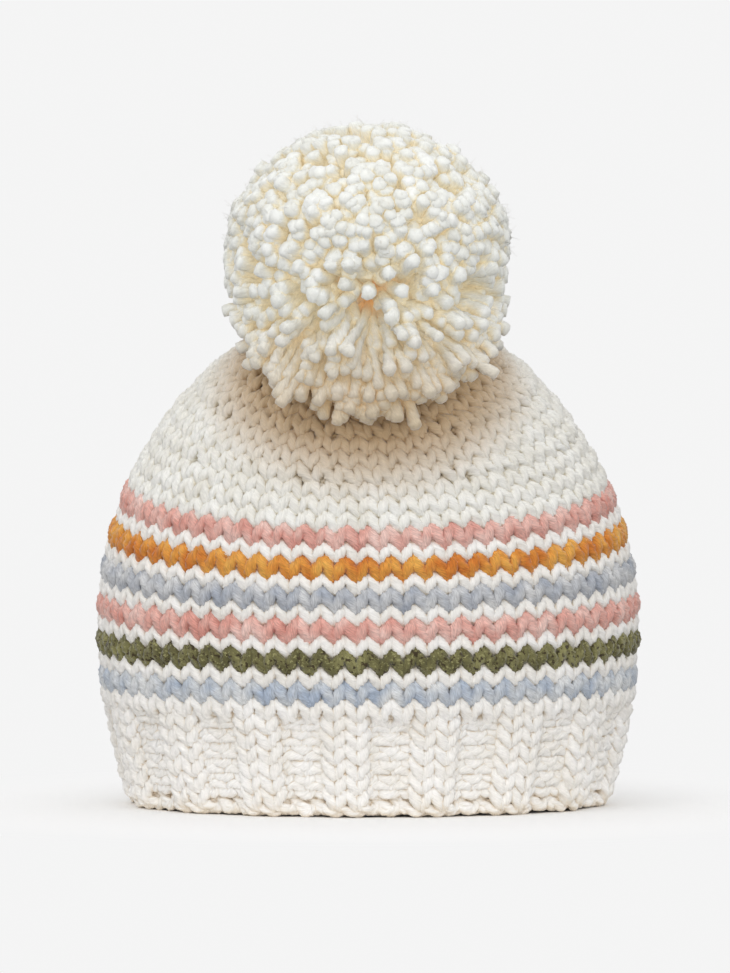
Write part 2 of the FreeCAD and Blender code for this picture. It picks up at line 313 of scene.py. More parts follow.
def yarn_piece(name, parts, material):
    """One mesh from several tubes() results, in metres, smooth, with its own UV map."""
    vertices, loops, starts, coords = [], [], [], []
    count = corners = 0
    for points, quads, triangles, uv in parts:
        vertices.append(points)
        loops += [quads.ravel() + count, triangles.ravel() + count]
        starts += [corners + 4 * np.arange(len(quads)),
                   corners + 4 * len(quads) + 3 * np.arange(len(triangles))]
        coords.append(uv)
        count += len(points)
        corners += quads.size + triangles.size
    vertices = np.concatenate(vertices) * METRE
    loops, starts = np.concatenate(loops), np.concatenate(starts)
    mesh = bpy.data.meshes.new(name)
    mesh.vertices.add(len(vertices))
    mesh.vertices.foreach_set("co", vertices.astype(np.float32).ravel())
    mesh.loops.add(len(loops))
    mesh.loops.foreach_set("vertex_index", loops.astype(np.int32))
    mesh.polygons.add(len(starts))
    mesh.polygons.foreach_set("loop_start", starts.astype(np.int32))
    mesh.update(calc_edges=True)
    layer = mesh.uv_layers.new(name="yarn")
    layer.data.foreach_set("uv", np.concatenate(coords).astype(np.float32).ravel())
    mesh.shade_smooth()
    mesh.validate()
    mesh.materials.append(material)
    piece = bpy.data.objects.new(name, mesh)
    bpy.context.scene.collection.objects.link(piece)
    return piece


# ---- Knitted courses -----------------------------------------------------------------


def rib_face(turn):
    """1 over a knit pair and -1 over a purl pair, with soft changes between."""
    wave = np.sin(TAU * turn * STITCHES_ROUND / 4)
    return np.tanh(RIB_EDGE * wave) / np.tanh(RIB_EDGE)


def rib_sink(face):
    """How far the purl pairs lie behind the knit pairs."""
    return RIB_RELIEF * (0.5 - 0.5 * face)


def stitch_turns(count, below):
    """Two functions from a stitch number to a turn, for the loops' heads and for their
    feet. Where the course below has more stitches, the last loop of each wedge takes
    what is left of it."""
    wedge, wedge_below = count / WEDGES, below / WEDGES

    def heads(place):
        return (place / wedge + 0.5) / WEDGES

    def feet(place):
        number, inside = np.divmod(place, wedge)
        last = inside - (wedge - 1)
        taken = np.where(last > 0, wedge - 1 + last * (wedge_below - wedge + 1), inside)
        return (number + 0.5 + taken / wedge_below) / WEDGES
    return heads, feet


def course(height, pitch, count=STITCHES_ROUND, below=STITCHES_ROUND, rib=False, seed=0,
           plump=1.0):
    """One course of loops as a closed path round the fabric. With phase p along a
    stitch, the path is p/tau + lean sin 2p across, -height cos p up, and
    -depth cos 2p out: legs in front, heads and feet behind. A purl loop is the same with
    the depth turned round. Small random differences make the loops uneven. A plump
    yarn is thicker, most of all in the legs, and its loops are taller and stand out."""
    rng = np.random.default_rng(seed)
    phase = np.tile(TAU * np.arange(LOOP_STEPS) / LOOP_STEPS, count)
    number = np.repeat(np.arange(count), LOOP_STEPS)
    wander = rng.normal(0, 1, (4, count + 1))
    wander[:, -1] = wander[:, 0]
    share = phase / TAU
    soft = smooth_step(share, 0, 1)
    uneven = wander[:, number] * (1 - soft) + wander[:, number + 1] * soft
    place = number + share + (LOOP_LEAN + UNEVEN_LEAN * uneven[0]) * np.sin(2 * phase)
    rise = -np.cos(phase)
    heads, feet = stitch_turns(count, below)
    blend = (rise + 1) / 2
    turn = heads(place) * blend + feet(place) * (1 - blend)
    up = height + pitch * (LOOP_HEIGHT * plump + UNEVEN_HEIGHT * uneven[1]) * rise
    up = up + UNEVEN_UP * uneven[2]
    face = rib_face(turn) if rib else 1.0
    depth = -LOOP_DEPTH * face * np.cos(2 * phase) + UNEVEN_OUT * uneven[3]
    depth = depth + PLUMP_OUT * (plump - 1) - rib_sink(face)
    radius = YARN_RADIUS * plump * (HEAD_THIN + LEG_EXTRA * np.sin(phase) ** 2)
    path, out = fabric.at(turn, up, depth)
    return tubes(path[None], out[None], radius[None], closed=True)


def cast_on():
    """The cast-on edge: two strands twisted round each other along the hem, once in two
    stitches, so that a slanted bead shows at every stitch, and one that runs straight
    behind them at the feet of the first loops."""
    steps = 12 * STITCHES_ROUND
    turn = np.arange(steps) / steps
    twist = TAU * turn * STITCHES_ROUND / 2
    sink = rib_sink(rib_face(turn))
    lines = [(CORD_STRAND + CORD_HELIX + CORD_HELIX * np.sin(twist + start),
              CORD_HELIX * np.cos(twist + start) - sink) for start in (0.0, math.pi)]
    lines.append((CORD_INNER_UP + 0 * turn, -CORD_STRAND - sink))
    paths, outs = zip(*[fabric.at(turn, up, depth) for up, depth in lines])
    size = np.full((len(lines), steps), CORD_STRAND)
    return tubes(np.array(paths), np.array(outs), size, closed=True)


# ---- The ties and knots --------------------------------------------------------------

PAIR_TURN = 0.55             # how fast two strands twist together, in radians to 1 mm
ANCHOR_TOP = -3.3            # the anchor pair ends here, clear of the neck knot
NECK_YARN = 2.4
NECK_PLAY = 0.3              # between the neck knot and the yarns of the pom's tie
KNOT_TUCK, KNOT_TALL = 0.3, 0.8             # how far its yarn dives in, and up and down
RING_WAVE, RING_RIPPLE = 0.25, 0.2          # of the gathered ring, out and up
TAIL_BEND = 1.6
END_WEAVE, END_WEAVE_EVERY = 0.35, 9.0      # a woven end's waves in and out
END_WANDER, END_WANDER_EVERY = 0.5, 17.0    # and up and down
MEAN_ASIDE = (0.013, 0.007, 0.011)

tip = np.array(frame["joints"][0]["pos_m"]) / METRE
tip_up = np.array([0.0, -math.sin(lean(FLAT_AT)), math.cos(lean(FLAT_AT))])
tip_back = np.array([0.0, tip_up[2], -tip_up[1]])
pom_centre = tip + tip_up * POM_RISE


def at_tip(x, back, up):
    """Points in the frame of the crown's flat: across, back, and up along the spine."""
    flat = tip - tip_up * NECK_RISE
    return (flat + np.multiply.outer(np.asarray(x), (1.0, 0.0, 0.0))
            + np.multiply.outer(np.asarray(back), tip_back)
            + np.multiply.outer(np.asarray(up), tip_up))


def strand(path, radius, closed=False):
    """One plied strand along a path of points. Its out way points from their mean, which
    is set a little aside so that no point lies on it."""
    out = unit(path - path.mean(0) + np.array(MEAN_ASIDE))
    return tubes(path[None], out[None], np.full((1, len(path)), radius), closed)


def twisted_pair(low, high, radius):
    """Two strands twisted round each other up the spine, from one height to another."""
    up = np.linspace(low, high, 24)
    turn = up * PAIR_TURN
    return [strand(at_tip(radius * np.cos(turn + half), radius * np.sin(turn + half), up),
                   radius) for half in (0.0, math.pi)]


def wound_knot(up, size, yarn):
    """A knot at a height along the spine: a closed strand of the yarn's radius that goes
    twice round and three times up and down over a ball of the given radius."""
    t = TAU * np.arange(90) / 90
    ball = size - yarn
    reach = ball - KNOT_TUCK * ball * (1 - np.cos(3 * t)) / 2
    return strand(at_tip(reach * np.cos(2 * t), reach * np.sin(2 * t),
                         up + KNOT_TALL * ball * np.sin(3 * t)), yarn, closed=True)


def gathered_ring():
    """The drawstring yarn, drawn up into a slightly wavy ring in the crown's dimple."""
    t = TAU * np.arange(64) / 64
    reach = GATHER_WIDTH / 2 - GATHER_YARN / 2 + RING_WAVE * np.sin(5 * t)
    up = GATHER_YARN / 2 - DIMPLE_DEPTH + RING_RIPPLE * np.sin(3 * t)
    return strand(at_tip(reach * np.cos(t), reach * np.sin(t), up), GATHER_YARN / 2,
                  closed=True)


def knot_tails():
    """The knot's two cut tails, which spread and hang down inside the crown with a
    slight bend."""
    share = np.linspace(0, 1, 12)
    run = KNOT_DIAMETER / 2 + TAIL_LENGTH * share
    sag = TAIL_BEND * np.sin(math.pi * share)
    spread = math.radians(TAIL_SPREAD)
    across = run * math.sin(spread) + sag * math.cos(spread)
    up = KNOT_CENTRE - run * math.cos(spread) + sag * math.sin(spread)
    return [strand(at_tip(side * across, 0 * share, up), TAIL_YARN / 2)
            for side in (-1, 1)]


def pom_tie():
    """The yarn tied round the strands' middle, a ring that stands in the hat's middle
    plane, and its two ends twisted together down to the neck knot."""
    t = TAU * np.arange(48) / 48
    reach = TIE_RING / 2 - TIE_YARN / 2
    middle = NECK_RISE + POM_RISE
    ring = strand(at_tip(0 * t, reach * np.cos(t), middle + reach * np.sin(t)),
                  TIE_YARN / 2, closed=True)
    return [ring] + twisted_pair(NECK_RISE + NECK_KNOT / 2 + NECK_PLAY, middle - reach,
                                 ANCHOR_YARN / 4)


def woven_end(middle, side):
    """A yarn end that follows its own course on the inside, beside the join at the
    middle of the back. It lies on the fabric with small waves, over and under loops."""
    share = np.linspace(0, 1, 26)
    run = END_FROM_JOIN + END_LENGTH * share
    turn = side * run / np.interp(middle, fabric.height, fabric.girth)
    weave = END_WEAVE * np.sin(TAU * run / END_WEAVE_EVERY)
    wander = END_WANDER * np.sin(TAU * run / END_WANDER_EVERY)
    depth = -FABRIC_THICKNESS / 2 - END_YARN / 2 + weave
    path, _ = fabric.at(turn, middle + wander, depth)
    return strand(path, END_YARN / 2)


# ---- The pom -------------------------------------------------------------------------

NECK_GAP = -0.93             # cosine to the tip's way below which no strand grows
WAY_WANDER = 0.06            # how far a strand's way differs from an even spread
LUMPS = 9                    # soft swellings and hollows of the ball
LUMP_FOCUS = 6.0             # how narrow they are
LUMP_HEIGHT = 0.02           # and how high, as a share of the reach
HANG_FROM, HANG_FULL = 0.13, 0.36           # how far down the strands point that hang
LIE_START, LIE_WHOLE = -0.30, -0.08         # how far up the strands point that lie over
LIE_FADE, LIE_END = 0.15, 0.75              # the ball, and where that ends above
LENGTH_EVENNESS = 0.8        # how far the lengths of those that don't hang come together
USUAL_SHORT, USUAL_LONG = 0.35, 0.65        # shares of the limits in their usual length
SIDE_SHORTER = 0.05          # how much shorter the strands that hang at the sides are
TUFTS = 130                  # strands lean together in as many tufts
TUFT_PULL = 0.15             # how far, in the way to the tuft's middle
PARTING_WAY = (-0.04, -0.97, -0.22)         # in front, where the strands part
PARTING_WIDTH = 0.26         # across it, in radians
PARTING_PUSH = 10.0          # how far ends move out, for each radian off its middle
STRAY, HANGING_STRAY = 4.0, 5.5             # at random, for all and more where they hang
LIE_UP, SETTLE = 12.0, 2.0   # how far strands lie up, and how far all sink
DROOP, FRONT_DROOP = 4.0, 22.0              # how far they hang down, and more in front
WAVES, WAVE_SIZE = 2.2, 0.8  # in one strand
BALL_LIMIT = 1.05            # how far strands may run out, in the pom's reach
BEHIND_LIMIT, FRONT_LIMIT = -0.03, 0.17     # more than that where they hang
LIMIT_WANDER = 0.04
TRIM_FROM, TRIM_FULL = -0.5, 0.15           # from here backwards strands are trimmed
CROWN_CLEARANCE = 4.4        # a strand's half width, and the loops' height
STRAND_LIFT = 9.0            # the most that a strand's end lies higher than that
CROWN_REACH = 7.0            # lower than this over the pom's middle, points can meet it
CROWN_TURNS, CROWN_ROWS = 64, 40            # samples of the crown's surface
CROWN_OVERLAP = 12.0         # how far they reach below the crown
FAR_OFF = 100.0              # stands for any height over the crown that is enough
# nod and sway in degrees, at rest and at the ends of the pom's travel
SWINGS = ((0, 0), (5, 0), (5, 10), (5, -10), (-15, 0), (-15, 10), (-15, -10))
# places along a strand, closer together at the cut end, and its thickness at each
STRAND_SHARES = np.array([0.34, 0.47, 0.60, 0.72, 0.82, 0.90, 0.955, 0.985, 1.0])
STRAND_SWELL = (0.62, 0.78, 0.88, 0.93, 0.96, 1.0, 1.03, 1.04, 0.93)
STRAND_RADIUS = (2.2, 2.8)   # least and most
UPPER_THICKER = 0.5          # where strands don't hang
STRAND_SIDES = 8
STRAND_TWIST = 34.0
FIBRES_PER_STRAND = 5
FIBRES_UP_TO = 0.1           # of hanging, the strands that carry fibres
FIBRE_RADII = (0.15, 0.13, 0.10, 0.05)
FIBRE_LENGTH = (1.5, 3.5)
FIBRE_CURL = 1.4
FIBRE_TWIST = 60.0


def crown_samples():
    """Points all over the crown's outer surface, and the normals there."""
    heights = np.linspace(CROWN_START - CROWN_OVERLAP, fabric.height[-1], CROWN_ROWS)
    turn, height = np.meshgrid(np.arange(CROWN_TURNS) / CROWN_TURNS, heights)
    outside = np.full(turn.size, FABRIC_THICKNESS / 2)
    return fabric.at(turn.ravel(), height.ravel(), outside)


parting = unit(np.array(PARTING_WAY))
crown_points, crown_normals = crown_samples()


def above_crown(points):
    """Height of points over the crown's surface at its nearest point, and its normal."""
    gap = ((points ** 2).sum(1)[:, None] - 2 * points @ crown_points.T
           + (crown_points ** 2).sum(1)[None])
    near = gap.argmin(1)
    normal = crown_normals[near]
    return ((points - crown_points[near]) * normal).sum(-1), normal


def turned(points, axis, degrees):
    """Points turned about an axis through the pom's pivot."""
    turn = np.array(Matrix.Rotation(math.radians(degrees), 3, Vector(axis)))
    return (points - tip) @ turn.T + tip


def swung(points, nod, sway):
    """Points of the pom when it has swayed and then nodded by angles in degrees."""
    return turned(turned(points, tip_back, sway), (1, 0, 0), nod)


def swung_back(points, nod, sway):
    """The same points, brought back to rest."""
    return turned(turned(points, (1, 0, 0), -nod), tip_back, -sway)


def low_points(points):
    """Numbers of the points that the pom's swing can bring near the crown."""
    return np.flatnonzero(points[:, 2] < pom_centre[2] + CROWN_REACH)


def free_share(paths, clearance):
    """Share of each strand, from the middle out, that keeps the clearance from the crown
    at rest and at the ends of the pom's swing. Between two points of a strand the
    height over the crown is taken to run straight."""
    flat = paths.reshape(-1, 3)
    lowest = np.full(len(flat), np.inf)
    low = low_points(flat)
    for nod, sway in SWINGS:
        lowest[low] = np.minimum(lowest[low], above_crown(swung(flat[low], nod, sway))[0])
    lowest = np.minimum(lowest.reshape(paths.shape[:2]), FAR_OFF)
    blocked = lowest < clearance
    row = np.arange(len(paths))
    end = blocked.argmax(1)
    start = np.maximum(end - 1, 0)
    drop = np.maximum(lowest[row, start] - lowest[row, end], 0.01)
    step = np.clip((lowest[row, start] - clearance) / drop, 0, 1)
    share = STRAND_SHARES[start] + step * (STRAND_SHARES[end] - STRAND_SHARES[start])
    return np.where(blocked.any(1), share, 1.0)


def keep_off_crown(paths, clearance):
    """Move each point of the strands that comes nearer the crown than its clearance out
    along the normal of the nearest surface point, with the pom at rest and at the ends
    of its swing."""
    flat = paths.reshape(-1, 3).copy()
    low = low_points(flat)
    points = flat[low]
    clearance = clearance.ravel()[low]
    for nod, sway in SWINGS:
        points = swung(points, nod, sway)
        height, normal = above_crown(points)
        points += normal * np.maximum(0, clearance - height)[:, None]
        points = swung_back(points, nod, sway)
    flat[low] = points
    return flat.reshape(paths.shape)


def even_directions(count):
    """Directions spread evenly over a sphere by the golden angle."""
    k = np.arange(count) + 0.5
    up = 1 - 2 * k / count
    angle = k * math.pi * (3 - math.sqrt(5))
    flat = np.sqrt(1 - up ** 2)
    return np.stack([flat * np.cos(angle), flat * np.sin(angle), up], axis=-1)


def pom_reach(way):
    """How far the pom reaches from its middle along a direction: a superellipse turned
    about the upright, domed above and squarer below."""
    above = way[:, 2] > 0
    power = np.where(above, POM_TOP_POWER, POM_BOTTOM_POWER)
    tall = np.abs(way[:, 2]) / np.where(above, POM_TOP, POM_BOTTOM)
    flat = np.sqrt(1 - way[:, 2] ** 2) / POM_HALF_WIDTH
    return (flat ** power + tall ** power) ** (-1 / power)


def keep_in_ball(paths, most):
    """Shorten each strand that runs further out than its most, a factor on the pom's
    reach."""
    away = paths - pom_centre
    far = np.linalg.norm(away, axis=-1)
    limit = pom_reach((away / far[..., None]).reshape(-1, 3)).reshape(far.shape)
    shorter = np.minimum(1, most * (limit / far).min(-1))
    return pom_centre + away * shorter[:, None, None]


def strand_ways(rng, count):
    """The ways that strands grow out of the pom's middle, with none at the neck, and how
    far the ball swells or sinks at each: the sum of a few bumps about random ways."""
    way = unit(even_directions(count) + rng.normal(0, WAY_WANDER, (count, 3)))
    way = way[way @ tip_up > NECK_GAP]
    lumps = np.zeros(len(way))
    for _ in range(LUMPS):
        centre = unit(rng.normal(0, 1, 3))
        lumps += rng.uniform(-1, 1) * np.exp(LUMP_FOCUS * (way @ centre - 1))
    return way, lumps


def parted(way):
    """How far the strands' ends move out of the parting in front: along their offset
    from the parting's way, by a bell curve of that offset."""
    apart = way - (way @ parting)[:, None] * parting
    spread = np.linalg.norm(apart, axis=-1)
    push = PARTING_PUSH * np.exp(-(spread / PARTING_WIDTH) ** 2)
    return (push * (way @ parting > 0) / spread)[:, None] * apart


def strand_bends(rng, way, reach, hanging, front):
    """How far each strand's end lies aside from its way: towards the middle of its tuft,
    out of the parting and a little at random, all square to the way, and then up where
    the strands lie over the ball and down where they hang, most of all in front."""
    tufts = unit(rng.normal(0, 1, (TUFTS, 3)))
    tuft = tufts[(way @ tufts.T).argmax(1)]
    bend = TUFT_PULL * (tuft - way) * reach[:, None] + parted(way)
    bend += rng.normal(0, 1, way.shape) * (STRAY + HANGING_STRAY * hanging)[:, None]
    bend -= (bend * way).sum(-1, keepdims=True) * way
    lying = (smooth_step(way[:, 2], LIE_START, LIE_WHOLE)
             - smooth_step(way[:, 2], LIE_FADE, LIE_END))
    droop = hanging * (DROOP + FRONT_DROOP * front ** 2)
    bend[:, 2] += (LIE_UP * lying - SETTLE - droop) * np.sqrt(1 - way[:, 2] ** 2)
    return bend


def pom_paths(count, seed, shortest, longest, loose):
    """Middle lines of cut strands from the pom's middle outwards. Each runs along its
    way, bends aside by the square of its length and waves a little. Hanging rises from
    0 to 1 towards the low strands, and front towards those that point forwards. Strands
    that would enter the crown are cut shorter behind and turned aside in front. The
    lengths are shares of the pom's reach, and loose says how far the strands bend."""
    rng = np.random.default_rng(seed)
    way, lumps = strand_ways(rng, count)
    count = len(way)
    hanging = smooth_step(-way[:, 2], HANG_FROM, HANG_FULL)
    front = np.clip(-way[:, 1], 0, 1)
    length = rng.uniform(shortest, longest, count)
    usual = USUAL_SHORT * shortest + USUAL_LONG * longest
    length += LENGTH_EVENNESS * (1 - hanging) * (usual - length)
    reach = pom_reach(way) * (1 + LUMP_HEIGHT * lumps) * length
    reach = reach * (1 - SIDE_SHORTER * hanging * way[:, 0] ** 2)
    bend = strand_bends(rng, way, reach, hanging, front)
    wave = rng.normal(0, WAVE_SIZE, (count, 1, 3)) * np.sin(
        TAU * (WAVES * STRAND_SHARES + rng.uniform(0, 1, (count, 1))))[..., None]
    path = (pom_centre + way[:, None] * (reach[:, None] * STRAND_SHARES)[..., None]
            + loose * bend[:, None] * (STRAND_SHARES ** 2)[None, :, None] + wave)
    most = (BALL_LIMIT + BEHIND_LIMIT * hanging * (1 - front)
            + FRONT_LIMIT * hanging * front ** 2)
    path = keep_in_ball(path, most + LIMIT_WANDER * hanging * rng.normal(0, 1, count))
    blocked = 1 - free_share(path, CROWN_CLEARANCE)
    trim = smooth_step(way[:, 1], TRIM_FROM, TRIM_FULL) * blocked
    path = pom_centre + (path - pom_centre) * (1 - trim)[:, None, None]
    lift = np.multiply.outer(rng.uniform(0, STRAND_LIFT, count), STRAND_SHARES)
    return keep_off_crown(path, CROWN_CLEARANCE + lift), way, hanging


def pom_strands(count, seed, shortest, longest, loose):
    """The cut strands, which swell to their blunt ends and round off."""
    path, way, hanging = pom_paths(count, seed, shortest, longest, loose)
    rng = np.random.default_rng(seed + 100)
    count = len(path)
    out = unit(np.cross(way, rng.normal(0, 1, (count, 3))))
    out = np.broadcast_to(out[:, None], path.shape)
    thick = rng.uniform(*STRAND_RADIUS, count) + UPPER_THICKER * (1 - hanging)
    return tubes(path, out, np.multiply.outer(thick, STRAND_SWELL), closed=False,
                 sides=STRAND_SIDES, twist=STRAND_TWIST, seed=seed)


def loose_fibres(count, seed, shortest, longest, loose):
    """Fine fibres that curl off the outer ends of the strands that don't hang. Each runs
    straight at first and curls aside by the square of its length."""
    path, _, hanging = pom_paths(count, seed, shortest, longest, loose)
    path = path[hanging < FIBRES_UP_TO]
    count = len(path)
    rng = np.random.default_rng(seed + 200)
    share = np.linspace(0, 1, len(FIBRE_RADII))[:, None]
    fibres = []
    for _ in range(FIBRES_PER_STRAND):
        step = rng.uniform(0.25, 1.0, (count, 1))
        root = path[:, -3] + step * (path[:, -1] - path[:, -3])
        way = unit(rng.normal(0, 1, (count, 3)))
        curl = rng.normal(0, FIBRE_CURL, (count, 3))
        length = rng.uniform(*FIBRE_LENGTH, (count, 1, 1))
        fibres.append(root[:, None] + way[:, None] * length * share
                      + curl[:, None] * share ** 2)
    fibres = np.concatenate(fibres)
    out = unit(rng.normal(0, 1, (len(fibres), 1, 3))) + np.zeros_like(fibres)
    radius = np.broadcast_to(FIBRE_RADII, fibres.shape[:2])
    return tubes(fibres, out, radius, closed=False, sides=3, twist=FIBRE_TWIST, seed=seed)


# ---- Materials -----------------------------------------------------------------------

DYE_STOPS = (0.32, 0.5, 0.68)               # of the darker, the base and the lighter dye
WOOL_ROUGHNESS = 0.88
WOOL_SPECULAR = 0.25
SHEEN = 0.35
SHEEN_ROUGHNESS = 0.45
FUZZ_STRENGTH = 0.55
FUZZ_HEIGHT = 0.0005
# The pom's foot is also the middle of the pom's painted shadow on the crown.
POM_FOOT = np.array([0.0, -14.0, -18.0])    # from the pom's middle, among its low strands


def feed(tree, socket, value):
    """Link a socket to another node's, or set it to a fixed value."""
    if isinstance(value, bpy.types.NodeSocket):
        tree.links.new(value, socket)
    else:
        socket.default_value = value


def node(tree, kind, x, y, inputs=None, **settings):
    """A new node with its settings, and with its named or numbered inputs fed."""
    made = tree.nodes.new(kind)
    made.location = (x, y)
    for key, value in settings.items():
        setattr(made, key, value)
    for key, value in (inputs or {}).items():
        feed(tree, made.inputs[key], value)
    return made


def value_group(name, inputs, outputs):
    """An empty group with named number inputs, each with its usual value, and named
    number outputs. Also returns its two end nodes."""
    group = bpy.data.node_groups.new(name, "ShaderNodeTree")
    for label, usual in inputs.items():
        socket = group.interface.new_socket(label, in_out="INPUT",
                                            socket_type="NodeSocketFloat")
        socket.default_value = usual
    for label in outputs:
        group.interface.new_socket(label, in_out="OUTPUT", socket_type="NodeSocketFloat")
    return (group, node(group, "NodeGroupInput", -1200, 0).outputs,
            node(group, "NodeGroupOutput", 700, 0).inputs)


def soft_mask(tree, x, y, value, start, end):
    """0 at the start value, 1 at the end value and smooth between."""
    return node(tree, "ShaderNodeMapRange", x, y,
                {"Value": value, "From Min": start, "From Max": end},
                interpolation_type="SMOOTHSTEP").outputs[0]


def yarn_fibre_group():
    """Fibre pattern of plied wool in the yarn's own coordinates. Fine streaks run along
    the plies, a slower noise varies the shade, and a grain makes tweed flecks."""
    group, given, results = value_group(
        "yarn_fibre", {"Streak Scale": 26.0, "Fleck Scale": 900.0, "Fleck Share": 0.5},
        ("Height", "Streak", "Shade", "Fleck", "Along"))
    uv = node(group, "ShaderNodeUVMap", -1200, 300, uv_map="yarn")
    place = node(group, "ShaderNodeTexCoord", -1200, -200).outputs["Object"]
    split = node(group, "ShaderNodeSeparateXYZ", -1000, 300, {0: uv.outputs[0]})
    around = node(group, "ShaderNodeMath", -800, 400,
                  {0: split.outputs[0], 1: given["Streak Scale"]}, operation="MULTIPLY")
    along = node(group, "ShaderNodeMath", -800, 200, {0: split.outputs[1], 1: 0.55},
                 operation="MULTIPLY")
    join = node(group, "ShaderNodeCombineXYZ", -600, 300,
                {0: around.outputs[0], 1: along.outputs[0]})
    streak = node(group, "ShaderNodeTexNoise", -400, 300,
                  {"Vector": join.outputs[0], "Scale": 1.0, "Detail": 3.0,
                   "Roughness": 0.65})
    shade = node(group, "ShaderNodeTexNoise", -400, 0,
                 {"Vector": place, "Scale": 95.0, "Detail": 2.0})
    fleck = node(group, "ShaderNodeTexNoise", -400, -300,
                 {"Vector": place, "Scale": given["Fleck Scale"], "Detail": 2.0})
    width = node(group, "ShaderNodeMath", -400, -520, {0: given["Fleck Share"], 1: 0.06},
                 operation="ADD")
    mask = node(group, "ShaderNodeMapRange", -150, -300,
                {"Value": fleck.outputs[0], "From Min": given["Fleck Share"],
                 "From Max": width.outputs[0]})
    for label, value in (("Height", streak), ("Streak", streak), ("Shade", shade),
                         ("Fleck", mask)):
        feed(group, results[label], value.outputs[0])
    feed(group, results["Along"], split.outputs[1])
    return group


def crevice_shade_group():
    """Painted shade: a mask from ambient occlusion that is 0 in the open and 1 deep
    between strands. Where it is 1 the wool's colour is darkened and warmed to stand for
    the shade there, where light comes only off other wool."""
    group, given, results = value_group(
        "crevice_shade", {"Distance": 0.012, "Open": 0.55, "Deep": 0.08}, ("Mask",))
    reach = node(group, "ShaderNodeAmbientOcclusion", -400, 0,
                 {"Distance": given["Distance"]}, samples=6)
    feed(group, results["Mask"], soft_mask(group, -200, 0, reach.outputs["AO"],
                                           given["Open"], given["Deep"]))
    return group


def pom_shadow_group():
    """Painted shadow of the pom: a mask that falls from 1 to 0 between two distances from
    the pom's foot, where its low strands hang over the crown and shade it."""
    group, given, results = value_group("pom_shadow_mask", {"Near": 0.046, "Far": 0.080},
                                        ("Mask",))
    place = node(group, "ShaderNodeTexCoord", -600, -200)
    away = node(group, "ShaderNodeVectorMath", -400, -200,
                {0: place.outputs["Object"], 1: (pom_centre + POM_FOOT) * METRE},
                operation="DISTANCE")
    feed(group, results["Mask"], soft_mask(group, -200, 0, away.outputs["Value"],
                                           given["Far"], given["Near"]))
    return group


def underside_shade_group():
    """Painted shade on a ball's lower side: a mask that rises from 0 to 1 between two
    heights, from the upper to the lower.
    """
    group, given, results = value_group("underside", {"Upper": 0.200, "Lower": 0.145},
                                        ("Mask",))
    place = node(group, "ShaderNodeTexCoord", -600, -200)
    split = node(group, "ShaderNodeSeparateXYZ", -400, -200,
                 {0: place.outputs["Object"]})
    feed(group, results["Mask"], soft_mask(group, -200, 0, split.outputs["Z"],
                                           given["Upper"], given["Lower"]))
    return group


fibre_group = yarn_fibre_group()
crevice_shade = crevice_shade_group()
pom_shadow_mask = pom_shadow_group()
underside = underside_shade_group()


def mixed(tree, x, y, factor, first, second, blend="MIX"):
    """The second colour over the first, by the factor."""
    mix = node(tree, "ShaderNodeMix", x, y, data_type="RGBA", blend_type=blend)
    feed(tree, mix.inputs[0], factor)
    feed(tree, mix.inputs[6], first)
    feed(tree, mix.inputs[7], second)
    return mix.outputs[2]


def tinted(tree, x, y, colour, group, tint, **limits):
    """The colour, multiplied by a tint where the group's mask is 1, and that mask."""
    mask = node(tree, "ShaderNodeGroup", x - 200, y, limits, node_tree=group).outputs[0]
    return mixed(tree, x, y, mask, colour, (*tint, 1), "MULTIPLY"), mask


